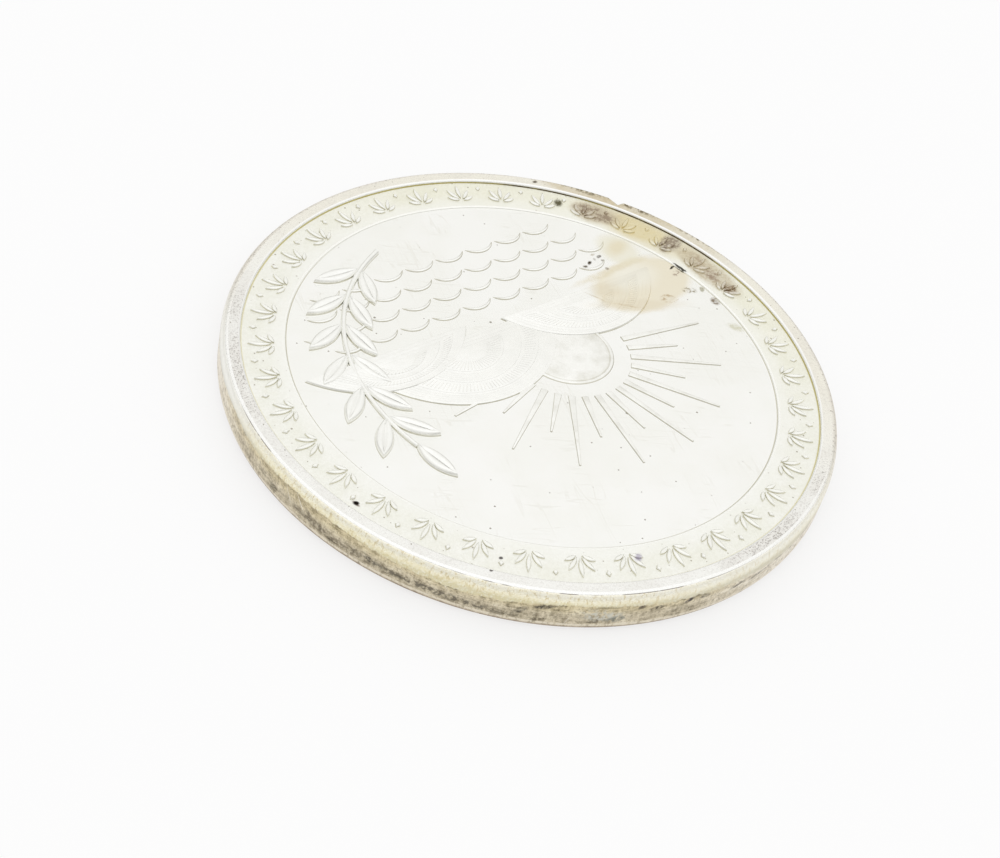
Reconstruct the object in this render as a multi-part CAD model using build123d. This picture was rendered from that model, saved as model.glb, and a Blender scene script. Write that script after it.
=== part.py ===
"""Commemorative medal: one struck silver piece, lying flat with its picture side up.

Its back rests on z = 0 with the medal's axis on Z, and +Y points to the top of the picture.
All sizes are in millimetres and all angles in degrees, apart from the shares named as such.
"""

import os
from math import cos, floor, pi, radians, sin, sqrt, tan

from build123d import *

# Blank: a disc whose wall is straight between two rounded shoulders
diameter = 39.0
thickness = 2.85
shoulder_width = 0.45
shoulder_height = 0.68

# Face, from the wall inwards: flat rim, ornament band, polished field
rim_width = 0.71
rim_height = 0.2
band_width = 2.71
step_height = 0.11
face_draft = 11.0

# Back: the same flat rim round one plain sunk disc
back_depth = 0.25

# Knock on the rim's outer edge
nick_angle = 213.5
nick_reach = 0.85  # how far in from the edge it starts
nick_slope = 34  # how steeply its floor falls outwards
nick_opening = 124  # angle between its two flanks
nick_lean = 10  # how far it leans towards its longer flank
nick_size = 0.6

# Relief: every raised form has sloping walls and starts a little below the metal that it stands on
relief_draft = 22.0
root_depth = 0.04

# Frieze of palmettes on the band, with a lozenge in each gap
palmette_pitch = 2.96
palmette_inner_margin = 0.62
palmette_outer_margin = 0.4
palmette_heart = 0.28
petal_width = 0.32
frieze_share = 0.6  # of the rim's height
lozenge_length = 0.62
lozenge_width = 0.42
lozenge_crown = 0.5  # share of its foot
PETALS = (
    # turn from the radius, length as a share of the middle petal
    dict(turn=-64.0, length=0.6),
    dict(turn=-33.0, length=0.84),
    dict(turn=0.0, length=1.0),
    dict(turn=33.0, length=0.84),
    dict(turn=64.0, length=0.6),
)

# Picture on the field: plan sizes are shares of the field's radius,
# and heights are shares of the field's depth below the rim
SUN = dict(x=-0.16, y=0.0, radius=0.2, height=0.22)
RAY = dict(start=0.27, start_width=0.032, end_width=0.0116, height=0.22)
RAY_ENDS = (0.66, 0.5)  # taken in turn
ray_pitch = 11.5
ray_fan = (6.0, 174.0)
shore = -0.3
HILLS = (
    # crest across the field, foot above the shore, chord and rise, height of the lowest terrace
    dict(crest=0.22, foot=0.05, chord=0.94, rise=0.37, height=0.26),
    dict(crest=-0.44, foot=0.025, chord=0.82, rise=0.26, height=0.44),
    dict(crest=0.52, foot=0.0, chord=0.78, rise=0.21, height=0.52),
)
terraces = 4
TERRACE = dict(shrink=0.2, lip=0.018, step=0.08)
wave_rows = 4
WAVE = dict(row_gap=0.1, length=0.145, rise=0.035, width=0.0154, space=0.013, height=0.3)
wave_margin = 0.07

# Leafy sprig across the hills' right end, in the same shares: its stem is one arc through three places
SPRIG_STEM = (
    dict(x=0.2, y=-0.84),
    dict(x=0.62, y=-0.46),
    dict(x=0.72, y=0.18),
)
STEM = dict(width=0.022, height=0.84)
LEAF = dict(stalk=0.008, length=0.212, width=0.074, height=0.93)
VEIN = dict(length=0.148, width=0.0077, depth=0.26)
leaf_pairs = 6
leaf_turn = 38.0
first_leaf = 0.12  # share of the stem's length

radius = diameter / 2
rim_outer_radius = radius - shoulder_width
rim_inner_radius = rim_outer_radius - rim_width
band_outer_radius = rim_inner_radius - rim_height * tan(radians(face_draft))
band_inner_radius = band_outer_radius - band_width
field_radius = band_inner_radius - step_height * tan(radians(face_draft))
band_top = thickness - rim_height
field_top = band_top - step_height
field_depth = thickness - field_top


def blank():
    """The struck disc without its relief: half a cross-section turned about Z."""
    back_radius = rim_inner_radius - back_depth * tan(radians(face_draft))
    lower_centre = (rim_outer_radius, shoulder_height)
    upper_centre = (rim_outer_radius, thickness - shoulder_height)
    lower_shoulder = EllipticalCenterArc(lower_centre, shoulder_width, shoulder_height, 270)
    upper_shoulder = EllipticalCenterArc(upper_centre, shoulder_width, shoulder_height, 0)
    wall = Line((radius, shoulder_height), (radius, thickness - shoulder_height))
    back = Polyline(
        (0, back_depth),
        (back_radius, back_depth),
        (rim_inner_radius, 0),
        (rim_outer_radius, 0),
    )
    face = Polyline(
        (rim_outer_radius, thickness),
        (rim_inner_radius, thickness),
        (band_outer_radius, band_top),
        (band_inner_radius, band_top),
        (field_radius, field_top),
        (0, field_top),
        (0, back_depth),
    )
    section = make_face(Curve() + [back, lower_shoulder, wall, upper_shoulder, face])
    return revolve(Plane.XZ * section, Axis.Z)


def nick():
    """V-shaped groove knocked across the rim's outer corner, its floor falling outwards."""
    half_width = nick_size * tan(radians(nick_opening / 2))
    outline = Polygon((0, 0), (-half_width, nick_size), (half_width, nick_size), align=None)
    across = Plane(
        origin=(radius - nick_reach, 0, thickness),
        x_dir=(0, 1, 0),
        z_dir=(cos(radians(nick_slope)), 0, -sin(radians(nick_slope))),
    )
    groove = extrude(across * Rot(0, 0, -nick_lean) * outline, 2 * nick_reach, both=True)
    return Rot(0, 0, nick_angle) * groove


def raised(outline, ground, height):
    """Relief over a curved outline, its walls sloping at the relief's draft."""
    return extrude(Pos(0, 0, ground - root_depth) * outline, root_depth + height, taper=relief_draft)


def ridge(foot, crown, ground, height):
    """Relief with straight sides that narrow from a foot outline to a crown outline."""
    low = Pos(0, 0, ground - root_depth) * Polygon(*foot, align=None)
    high = Pos(0, 0, ground + height) * Polygon(*crown, align=None)
    return loft([low, high], ruled=True)


def on_field(place):
    """A place given in shares of the field's radius, in millimetres."""
    return (place["x"] * field_radius, place["y"] * field_radius)


def leaf_outline(length, width):
    """Pointed oval from the origin along +X, one arc to each side."""
    lower = ThreePointArc((0, 0), (length / 2, -width / 2), (length, 0))
    upper = ThreePointArc((length, 0), (length / 2, width / 2), (0, 0))
    return make_face(Curve() + [lower, upper])


def palmette():
    """Fan of pointed petals that spring from one heart, drawn on the +X radius of the band."""
    heart = band_inner_radius + palmette_inner_margin
    middle_length = band_outer_radius - palmette_outer_margin - heart - palmette_heart
    petals = []
    for petal in PETALS:
        outline = leaf_outline(petal["length"] * middle_length, petal_width)
        place = Pos(heart, 0, 0) * Rot(0, 0, petal["turn"]) * Pos(palmette_heart, 0, 0)
        petals.append(place * raised(outline, band_top, frieze_share * rim_height))
    return petals


def lozenge():
    """Small four-sided stud with a flat crown, drawn on the +X radius near the band's outer edge."""
    middle = band_outer_radius - palmette_outer_margin - lozenge_length / 2
    foot, crown = (
        (
            (-lozenge_length / 2 * share, 0),
            (0, -lozenge_width / 2 * share),
            (lozenge_length / 2 * share, 0),
            (0, lozenge_width / 2 * share),
        )
        for share in (1, lozenge_crown)
    )
    return Pos(middle, 0, 0) * ridge(foot, crown, band_top, frieze_share * rim_height)


def frieze():
    """Palmettes all round the band with a lozenge in each gap."""
    band_middle = (band_inner_radius + band_outer_radius) / 2
    count = round(2 * pi * band_middle / palmette_pitch)
    fan = palmette()
    stud = lozenge()
    pieces = []
    for number in range(count):
        turn = 360 * number / count
        pieces += [Rot(0, 0, turn) * petal for petal in fan]
        pieces.append(Rot(0, 0, turn + 180 / count) * stud)
    return pieces


def sun_disc():
    """Flat disc behind the hills, lower than they are."""
    outline = Circle(SUN["radius"] * field_radius)
    return Pos(*on_field(SUN)) * raised(outline, field_top, SUN["height"] * field_depth)


def ray(end):
    """Straight bar that tapers from the sun outwards, drawn along +X."""
    height = RAY["height"] * field_depth
    slope = (root_depth + height) * tan(radians(relief_draft))
    foot, crown = (
        (
            (RAY["start"] * field_radius + inset, inset - RAY["start_width"] * field_radius / 2),
            (end * field_radius - inset, inset - RAY["end_width"] * field_radius / 2),
            (end * field_radius - inset, RAY["end_width"] * field_radius / 2 - inset),
            (RAY["start"] * field_radius + inset, RAY["start_width"] * field_radius / 2 - inset),
        )
        for inset in (0, slope)
    )
    return ridge(foot, crown, field_top, height)


def rays():
    """Long and short rays in turn, fanned out above the sun."""
    first, last = ray_fan
    count = floor((last - first) / ray_pitch) + 1
    start_angle = (first + last - (count - 1) * ray_pitch) / 2
    kinds = [ray(end) for end in RAY_ENDS]
    return [
        Pos(*on_field(SUN)) * Rot(0, 0, start_angle + number * ray_pitch) * kinds[number % len(kinds)]
        for number in range(count)
    ]


def hills():
    """Rounded hills behind the shore, each in narrowing terraces that step upwards.
    The nearer hills start higher than the top of the one that they cover."""
    pieces = []
    for hill in HILLS:
        for terrace in range(terraces):
            share = 1 - terrace * TERRACE["shrink"]
            crest_x = hill["crest"] * field_radius
            foot_y = (shore + hill["foot"] + terrace * TERRACE["lip"]) * field_radius
            half_chord = hill["chord"] / 2 * field_radius * share
            rise = hill["rise"] * field_radius * share
            left, right = (crest_x - half_chord, foot_y), (crest_x + half_chord, foot_y)
            arc = ThreePointArc(right, (crest_x, foot_y + rise), left)
            outline = make_face(Curve() + [Line(left, right), arc])
            height = (hill["height"] + terrace * TERRACE["step"]) * field_depth
            pieces.append(raised(outline, field_top, height))
    return pieces


def waves():
    """Rows of crescents below the shore, each row half a crescent aside from the last."""
    length = WAVE["length"] * field_radius
    rise = WAVE["rise"] * field_radius
    half_width = WAVE["width"] / 2 * field_radius
    upper = ThreePointArc((length / 2, 0), (0, rise + half_width), (-length / 2, 0))
    lower = ThreePointArc((-length / 2, 0), (0, rise - half_width), (length / 2, 0))
    crescent = raised(make_face(Curve() + [upper, lower]), field_top, WAVE["height"] * field_depth)
    pitch = length + WAVE["space"] * field_radius
    pieces = []
    for row in range(wave_rows):
        level = shore - (row + 1) * WAVE["row_gap"]
        half_row = (sqrt(max(1 - level**2, 0)) - wave_margin) * field_radius
        aside = 0.5 * (row % 2)
        reach = floor(half_row / pitch)
        for number in range(-reach, reach + 1):
            x = (number + aside) * pitch
            if abs(x) + length / 2 <= half_row:
                pieces.append(Pos(x, level * field_radius, 0) * crescent)
    return pieces


def leaf():
    """One leaf of the sprig along +X, with a sunk vein."""
    length = LEAF["length"] * field_radius
    height = LEAF["height"] * field_depth
    blade = raised(leaf_outline(length, LEAF["width"] * field_radius), field_top, height)
    vein_size = (VEIN["length"] * field_radius, VEIN["width"] * field_radius)
    vein = Box(*vein_size, 2 * VEIN["depth"] * field_depth)
    return blade - Pos(length / 2, 0, field_top + height) * vein


def sprig():
    """Curved stem with leaves in pairs and one at its tip."""
    stem_line = ThreePointArc(*[on_field(place) for place in SPRIG_STEM])
    stem_outline = offset(stem_line, STEM["width"] / 2 * field_radius, side=Side.BOTH)
    stem = raised(make_face(stem_outline.edges()), field_top, STEM["height"] * field_depth)
    blade = Pos(LEAF["stalk"] * field_radius, 0, 0) * leaf()
    pieces = [stem]
    for number in range(leaf_pairs + 1):
        share = first_leaf + (1 - first_leaf) * number / leaf_pairs
        root = stem_line.position_at(share)
        heading = stem_line.tangent_angle_at(share)
        turns = (0,) if number == leaf_pairs else (leaf_turn, -leaf_turn)
        pieces += [Pos(root.X, root.Y, 0) * Rot(0, 0, heading + turn) * blade for turn in turns]
    return pieces


def medal():
    """The whole struck piece."""
    picture = [sun_disc()] + rays() + hills() + waves() + sprig()
    return blank() + picture + frieze() - nick()


os.makedirs("parts", exist_ok=True)
export_step(medal(), "parts/medal.step")
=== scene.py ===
import math

import bmesh
import bpy
from mathutils import Matrix, Quaternion, Vector


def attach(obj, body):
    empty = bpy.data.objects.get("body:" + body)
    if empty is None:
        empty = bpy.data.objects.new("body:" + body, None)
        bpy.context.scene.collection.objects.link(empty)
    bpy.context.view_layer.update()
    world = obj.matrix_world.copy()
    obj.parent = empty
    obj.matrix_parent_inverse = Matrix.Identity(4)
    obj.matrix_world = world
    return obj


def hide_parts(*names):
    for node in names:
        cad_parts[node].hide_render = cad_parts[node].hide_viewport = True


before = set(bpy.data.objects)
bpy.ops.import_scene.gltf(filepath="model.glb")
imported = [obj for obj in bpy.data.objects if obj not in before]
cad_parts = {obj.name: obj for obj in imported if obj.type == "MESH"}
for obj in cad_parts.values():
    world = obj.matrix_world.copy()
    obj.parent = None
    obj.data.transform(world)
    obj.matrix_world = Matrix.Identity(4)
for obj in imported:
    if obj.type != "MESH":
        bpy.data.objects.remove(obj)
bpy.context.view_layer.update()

# camera
# The medal is seen from above its upper right, near enough for the far rim to shrink.
# Places are in the medal's own frame: +Y is the top of its picture and z = 0 the table.
MM = 0.001
CAMERA_ANGLE = 41.2


def polar(radius, angle, height=0.0):
    """A place at a radius and height in millimetres and an angle in degrees round the medal."""
    turn = math.radians(angle)
    return Vector((radius * math.cos(turn), radius * math.sin(turn), height)) * MM


camera_place = polar(86.105, CAMERA_ANGLE, 74.244)
camera_aim = polar(7.280, 33.585, 2.85)
camera_roll = math.radians(15.2655)
bpy.ops.object.select_all(action="DESELECT")
bpy.ops.object.camera_add(location=camera_place)
camera = bpy.context.object
camera.name = "camera"
camera.rotation_mode = "QUATERNION"
towards_aim = (camera_aim - camera_place).to_track_quat("-Z", "Y")
camera.rotation_quaternion = towards_aim @ Quaternion((0, 0, 1), camera_roll)
camera.data.sensor_width = 36
camera.data.lens = 64.73
camera.data.clip_start = 0.005
camera.data.clip_end = 20
bpy.context.scene.camera = camera

# light
# A white tent all round gives a soft even light that is a little darker towards the table.
# The side that the camera stands on is dimmer, which draws the edges of the relief.
bpy.context.scene.view_settings.view_transform = "Standard"


def add_node(kind, inputs=(), tree=None, **settings):
    """Adds a node: an input given as another node's socket is linked, any other is set.
    The node goes into the tree that its linked inputs are in, unless a tree is given."""
    inputs = dict(inputs)
    tree = tree or next(value.id_data for value in inputs.values() if isinstance(value, bpy.types.NodeSocket))
    made = tree.nodes.new("ShaderNode" + kind)
    for name, value in settings.items():
        setattr(made, name, value)
    for key, value in inputs.items():
        if isinstance(value, bpy.types.NodeSocket):
            tree.links.new(value, made.inputs[key])
        else:
            made.inputs[key].default_value = value
    return made


SIGNS = {"+": "ADD", "-": "SUBTRACT", "*": "MULTIPLY", "/": "DIVIDE"}


def calc_place(first, sign, second, result="Vector"):
    """One sum of two places or directions: a sign, or the name of another way to work."""
    return add_node("VectorMath", {0: first, 1: second}, operation=SIGNS.get(sign, sign)).outputs[result]


def fade(value, start, end, low=0.0, high=1.0):
    """A value that eases from low to high while another goes from start to end."""
    inputs = {"Value": value, "From Min": start, "From Max": end, "To Min": low, "To Max": high}
    return add_node("MapRange", inputs, interpolation_type="SMOOTHSTEP").outputs[0]


def add_ramp(value, stops):
    """The colour at a value, between stops of (value, colour)."""
    ramp = add_node("ValToRGB", {0: value})
    bar = ramp.color_ramp.elements
    while len(bar) > 1:
        bar.remove(bar[-1])
    for number, (place, colour) in enumerate(stops):
        stop = bar[0] if number == 0 else bar.new(place)
        stop.position = place
        stop.color = (*colour[:3], 1)
    return ramp.outputs["Color"]


TENT = (
    # height in the tent, from the table's level to straight above, and its light
    (0.0, (0.44, 0.435, 0.42)),
    (0.10, (0.58, 0.575, 0.555)),
    (0.26, (0.885, 0.88, 0.855)),
    (0.55, (0.93, 0.925, 0.90)),
    (0.70, (0.975, 0.97, 0.955)),
    (1.0, (1.06, 1.06, 1.055)),
)
DIM_SIDE_LIGHT = 0.89
tent = bpy.data.worlds.new("tent")
tent.use_nodes = True
bpy.context.scene.world = tent
tree = tent.node_tree
tree.nodes.clear()
direction = add_node("TexCoord", tree=tree).outputs["Generated"]
height = add_node("SeparateXYZ", {0: direction}).outputs["Z"]
towards_camera = calc_place(direction, "DOT_PRODUCT", polar(1, CAMERA_ANGLE).normalized(), "Value")
dim = fade(towards_camera, 0.2, 0.9, 1.0, DIM_SIDE_LIGHT)
dimmed = add_node("VectorMath", {0: add_ramp(height, TENT), "Scale": dim}, operation="SCALE").outputs[0]
lit = add_node("Background", {"Color": dimmed}).outputs[0]
seen = add_node("Background", {"Color": (0.98, 0.98, 0.98, 1)}, tree=tree).outputs[0]
to_camera = add_node("LightPath", tree=tree).outputs["Is Camera Ray"]
backdrop = add_node("MixShader", {0: to_camera, 1: lit, 2: seen}).outputs[0]
add_node("OutputWorld", {"Surface": backdrop})

# floor
# A sheet of white card that the medal lies on. It is so bright that the medal's own shadow almost
# washes out of it.
FLOOR_SIZE = 4.0
FLOOR_GLOW = 0.695
bpy.ops.object.select_all(action="DESELECT")
bpy.ops.mesh.primitive_plane_add(size=FLOOR_SIZE)
floor = bpy.context.object
floor.name = "floor"
card = bpy.data.materials.new("white_card")
card.use_nodes = True
shader = card.node_tree.nodes["Principled BSDF"]
shader.inputs["Base Color"].default_value = (0.3, 0.3, 0.305, 1)
shader.inputs["Roughness"].default_value = 1.0
shader.inputs["Specular IOR Level"].default_value = 0.0
shader.inputs["Emission Color"].default_value = (1, 1, 1, 1)
shader.inputs["Emission Strength"].default_value = FLOOR_GLOW
floor.data.materials.append(card)

# blank
# The struck disc under the relief, pressed from one round of silver sheet: rim, band, polished
# field, rounded shoulders, wall and a plain sunk back. Drawn ring by ring from the back's middle.
TURNS = 480
RADIUS = 19.5
THICKNESS = 2.85
SHOULDER_WIDTH = 0.45
SHOULDER_HEIGHT = 0.68
RIM_OUTER = 19.05
RIM_INNER = 18.34
BAND_OUTER = 18.301
BAND_INNER = 15.591
BAND_TOP = 2.65
FIELD_RADIUS = 15.57
FIELD_TOP = 2.54
FIELD_DEPTH = 0.31
BACK_RADIUS = 18.2914
BACK_DEPTH = 0.25
WALL_STEP = 0.1863  # from one ring of the wall up to the next


def shoulder(angle, depth=0.0):
    """A ring of the upper shoulder, from 0 degrees on the rim to 90 on the wall, sunk by a depth."""
    turn = math.radians(angle)
    return (
        RIM_OUTER + (SHOULDER_WIDTH - depth) * math.sin(turn),
        THICKNESS - SHOULDER_HEIGHT + (SHOULDER_HEIGHT - depth) * math.cos(turn),
    )


BACK_RINGS = [
    (8.0, BACK_DEPTH),
    (14.0, BACK_DEPTH),
    (BACK_RADIUS - 0.1, BACK_DEPTH),
    (BACK_RADIUS, BACK_DEPTH),
    (RIM_INNER, 0.0),
    (RIM_INNER + 0.1, 0.0),
    (RIM_OUTER - 0.02, 0.0),
    (RIM_OUTER, 0.0),
]
LOWER_SHOULDER = [(radius, THICKNESS - height) for radius, height in map(shoulder, range(10, 91, 10))]
WALL_RINGS = [(RADIUS, SHOULDER_HEIGHT + step * WALL_STEP) for step in range(1, 9)]
CREASE = [shoulder(29.5), shoulder(26, 0.011), shoulder(22.5)]
UPPER_SHOULDER = [shoulder(angle) for angle in (82, 74, 66, 58, 50, 43, 36)] + CREASE
UPPER_SHOULDER += [shoulder(angle) for angle in (16, 8, 0)]
FACE_RINGS = [
    (RIM_OUTER - 0.02, THICKNESS),
    (RIM_INNER + 0.2, THICKNESS),
    (RIM_INNER, THICKNESS),
    (BAND_OUTER, BAND_TOP),
    (BAND_OUTER - 0.07, BAND_TOP),
    (BAND_INNER + 0.12, BAND_TOP),
    (BAND_INNER, BAND_TOP),
    (FIELD_RADIUS, FIELD_TOP),
    (FIELD_RADIUS - 0.05, FIELD_TOP),
    (11.0, FIELD_TOP),
    (6.0, FIELD_TOP),
    (2.0, FIELD_TOP),
]
FIRST_RING = (2.0, BACK_DEPTH)


def start_piece(name, primitive, **settings):
    """Adds a primitive with nothing else selected, names it and goes into edit mode."""
    bpy.ops.object.select_all(action="DESELECT")
    primitive(**settings)
    bpy.ops.object.transform_apply()
    bpy.context.object.name = name
    bpy.ops.object.mode_set(mode="EDIT")
    return bpy.context.object


radius, height = FIRST_RING
blank = start_piece(
    "blank", bpy.ops.mesh.primitive_circle_add, vertices=TURNS, radius=radius * MM, fill_type="TRIFAN"
)
bpy.ops.mesh.select_mode(type="EDGE")
bpy.ops.transform.translate(value=(0, 0, height * MM))
bpy.ops.mesh.region_to_loop()
for next_radius, next_height in BACK_RINGS + LOWER_SHOULDER + WALL_RINGS + UPPER_SHOULDER + FACE_RINGS:
    bpy.ops.mesh.extrude_edges_move(TRANSFORM_OT_translate={"value": (0, 0, (next_height - height) * MM)})
    share = next_radius / radius
    bpy.ops.transform.resize(value=(share, share, 1), center_override=(0, 0, 0))
    radius, height = next_radius, next_height
bpy.ops.mesh.edge_face_add()
bpy.ops.mesh.select_mode(type="FACE")
bpy.ops.mesh.poke()
bpy.ops.mesh.select_all(action="SELECT")
bpy.ops.mesh.normals_make_consistent(inside=False)


def pick(kind, test):
    """Selects, in edit mode, only those of the piece's corners, edges or faces that pass a test."""
    bpy.ops.mesh.select_mode(type=kind)
    bpy.ops.mesh.select_all(action="DESELECT")
    shape = bmesh.from_edit_mesh(bpy.context.object.data)
    for part in {"VERT": shape.verts, "EDGE": shape.edges, "FACE": shape.faces}[kind]:
        part.select = test(part)
    shape.select_flush_mode()
    bmesh.update_edit_mesh(bpy.context.object.data)


def on_ring(corner, radius, height):
    """Whether a corner of the mesh lies on a ring, give or take two thousandths of a millimetre."""
    slack = 0.002 * MM
    return abs(corner.co.xy.length - radius * MM) < slack and abs(corner.co.z - height * MM) < slack


ROUNDED = (
    # ring and how far its corner is rounded
    (RIM_INNER, THICKNESS, 0.13),
    (BAND_OUTER, BAND_TOP, 0.03),
    (BAND_INNER, BAND_TOP, 0.085),
    (FIELD_RADIUS, FIELD_TOP, 0.02),
    (BACK_RADIUS, BACK_DEPTH, 0.04),
    (RIM_INNER, 0.0, 0.05),
)
for ring_radius, ring_height, rounding in ROUNDED:
    pick("EDGE", lambda edge: all(on_ring(corner, ring_radius, ring_height) for corner in edge.verts))
    bpy.ops.mesh.bevel(offset=rounding * MM, segments=5, affect="EDGES")
bpy.ops.object.mode_set(mode="OBJECT")

# a knock across the rim's outer corner, on the far side: a shallow groove whose floor falls
# outwards, cut with a three-sided bar
NICK_ANGLE = 213.5
NICK_REACH = 0.85
NICK_SLOPE = 34
NICK_OPENING = 124
NICK_LEAN = 10
NICK_SIZE = 0.6
NICK_ROUNDING = 0.05
wedge = start_piece(
    "wedge", bpy.ops.mesh.primitive_cylinder_add,
    vertices=3, radius=NICK_SIZE / 1.5 * MM, depth=4 * NICK_REACH * MM,
)
bpy.ops.transform.translate(value=(0, -NICK_SIZE / 1.5 * MM, 0))
widening = 3**0.5 * math.tan(math.radians(NICK_OPENING / 2))
bpy.ops.transform.resize(value=(widening, 1, 1), center_override=(0, 0, 0))
bpy.ops.mesh.bevel(offset=NICK_ROUNDING * MM, segments=3, affect="EDGES")
bpy.ops.object.mode_set(mode="OBJECT")
for move in (
    Matrix.Rotation(math.radians(-90 - NICK_LEAN), 4, "Z"),
    Matrix.Rotation(math.radians(90 + NICK_SLOPE), 4, "Y"),
    Matrix.Translation(Vector((RADIUS - NICK_REACH, 0, THICKNESS)) * MM),
    Matrix.Rotation(math.radians(NICK_ANGLE), 4, "Z"),
):
    wedge.data.transform(move)
bpy.ops.object.select_all(action="DESELECT")
bpy.context.view_layer.objects.active = blank
blank.select_set(True)
bpy.ops.object.modifier_add(type="BOOLEAN")
cut = blank.modifiers[-1]
cut.object = wedge
cut.operation = "DIFFERENCE"
cut.solver = "EXACT"
bpy.ops.object.modifier_apply(modifier=cut.name)
bpy.data.objects.remove(wedge)
bpy.ops.object.shade_smooth_by_angle(angle=math.radians(28))


# what the finishes share: sums, masks and colours over places in millimetres on the silver
def calc(first, sign, second=0.0):
    """One sum: a sign, or the name of another way to work, between two values."""
    return add_node("Math", {0: first, 1: second}, operation=SIGNS.get(sign, sign)).outputs[0]


def length(place):
    return add_node("VectorMath", {0: place}, operation="LENGTH").outputs["Value"]


def turn_place(place, degrees):
    """A place turned round the origin by an angle that is itself a value."""
    turn = calc(degrees, "*", math.pi / 180)
    return add_node("VectorRotate", {"Vector": place, "Angle": turn}, rotation_type="Z_AXIS").outputs[0]


def off(value, line):
    """How far a value is from a line."""
    return calc(calc(value, "-", line), "ABSOLUTE")


def near_line(value, line, width):
    """A mask for where a value comes within a width of a line."""
    return fade(off(value, line), width, width * 0.4)


def noise(place, scale, detail=2.0, roughness=0.5, result="Fac"):
    """Cloudy values round a half, scale to a millimetre."""
    inputs = {"Vector": place, "Scale": scale, "Detail": detail, "Roughness": roughness}
    return add_node("TexNoise", inputs).outputs[result]


def stretched(place, across, up):
    """Places drawn out so that patterns on them stretch along the medal's face or its height."""
    return calc_place(place, "*", (across, across, up))


def srgb(red, green, blue):
    """A colour given as it looks on a screen, 0 to 255, in the linear light that shaders use."""
    shares = [value / 255 for value in (red, green, blue)]
    return (*(share / 12.92 if share <= 0.04045 else ((share + 0.055) / 1.055) ** 2.4 for share in shares), 1)


def shades(value, *stops):
    """The colour at a value, between stops of (value, colour as on a screen)."""
    return add_ramp(value, [(stop, srgb(*colour)) for stop, colour in stops])


def lay(under, over, mask, strength=1.0, way="MIX"):
    """One colour laid over another by a mask. Each is a linked colour, or numbers as on a screen."""
    under, over = (srgb(*colour) if isinstance(colour, tuple) else colour for colour in (under, over))
    if strength < 1.0:
        mask = calc(mask, "*", strength)
    return add_node("Mix", {0: mask, 6: under, 7: over}, data_type="RGBA", blend_type=way).outputs[2]


def new_group(name, inputs, outputs):
    """A new group for finishes: its tree, its inputs by name and its outputs by name."""
    tree = bpy.data.node_groups.new(name, "ShaderNodeTree")
    for in_out, sockets in (("INPUT", inputs), ("OUTPUT", outputs)):
        for socket, kind in sockets.items():
            tree.interface.new_socket(name=socket, in_out=in_out, socket_type="NodeSocket" + kind)
    return tree, tree.nodes.new("NodeGroupInput").outputs, tree.nodes.new("NodeGroupOutput").inputs


def use_group(group, inputs):
    return add_node("Group", inputs, node_tree=group).outputs


# an oval that fades at its edge
spot_group, entry, leave = new_group(
    "spot",
    {"Place": "Vector", "Centre": "Vector", "Reach": "Vector", "Turn": "Float", "Softness": "Float"},
    {"Mask": "Float"},
)
away = turn_place(calc_place(entry["Place"], "-", entry["Centre"]), calc(entry["Turn"], "*", -1))
distance = length(calc_place(away, "/", entry["Reach"]))
past_edge = calc(calc(distance, "-", 1.0), "/", entry["Softness"])
spot_group.links.new(fade(past_edge, 1.0, -1.0), leave["Mask"])

# small round pits strewn at random: so many places to a millimetre, of which a share holds one
pits_group, entry, leave = new_group(
    "pits", {"Place": "Vector", "Density": "Float", "Size": "Float", "Share": "Float"}, {"Mask": "Float"}
)
cells = add_node("TexVoronoi", {"Vector": entry["Place"], "Scale": entry["Density"]}, voronoi_dimensions="2D")
chance = add_node("SeparateXYZ", {0: cells.outputs["Color"]}).outputs
distance = calc(cells.outputs["Distance"], "/", entry["Density"])
reach = calc(entry["Size"], "*", calc(chance["Y"], "+", 0.5))
inside = fade(calc(distance, "/", reach), 1.15, 0.7)
pits_group.links.new(calc(inside, "*", calc(chance["X"], "LESS_THAN", entry["Share"])), leave["Mask"])


def pits(place, density, size, share):
    return use_group(pits_group, {"Place": place, "Density": density, "Size": size, "Share": share})["Mask"]


# the fine grain of blasted or pickled silver, from 0 to 1
grain_group, entry, leave = new_group("grain", {"Place": "Vector", "Fineness": "Float"}, {"Grain": "Float"})
coarse = noise(entry["Place"], entry["Fineness"], 2.0, 0.7)
fine = noise(entry["Place"], calc(entry["Fineness"], "*", 2.7), 1.0)
both = calc(calc(coarse, "*", 0.6), "+", calc(fine, "*", 0.4))
grain_group.links.new(fade(both, 0.3, 0.7), leave["Grain"])


def grain(place, fineness):
    return use_group(grain_group, {"Place": place, "Fineness": fineness})["Grain"]


# hairline scratches, long and straight, all at one turn
hairline_group, entry, leave = new_group(
    "hairlines", {"Place": "Vector", "Turn": "Float", "Width": "Float"}, {"Mask": "Float"}
)
drawn_out = calc_place(turn_place(entry["Place"], entry["Turn"]), "*", (0.09, 1.6, 1.6))
line = fade(calc(off(noise(drawn_out, 1.0, 1.0), 0.5), "/", entry["Width"]), 1.0, 0.3)
patches = fade(noise(entry["Place"], 0.3), 0.48, 0.6)
hairline_group.links.new(calc(line, "*", patches), leave["Mask"])


def hairlines(place, turns, width):
    """Hairlines at each of two turns."""
    one, other = (use_group(hairline_group, {"Place": place, "Turn": turn, "Width": width}) for turn in turns)
    return calc(one["Mask"], "MAXIMUM", other["Mask"])


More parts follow.
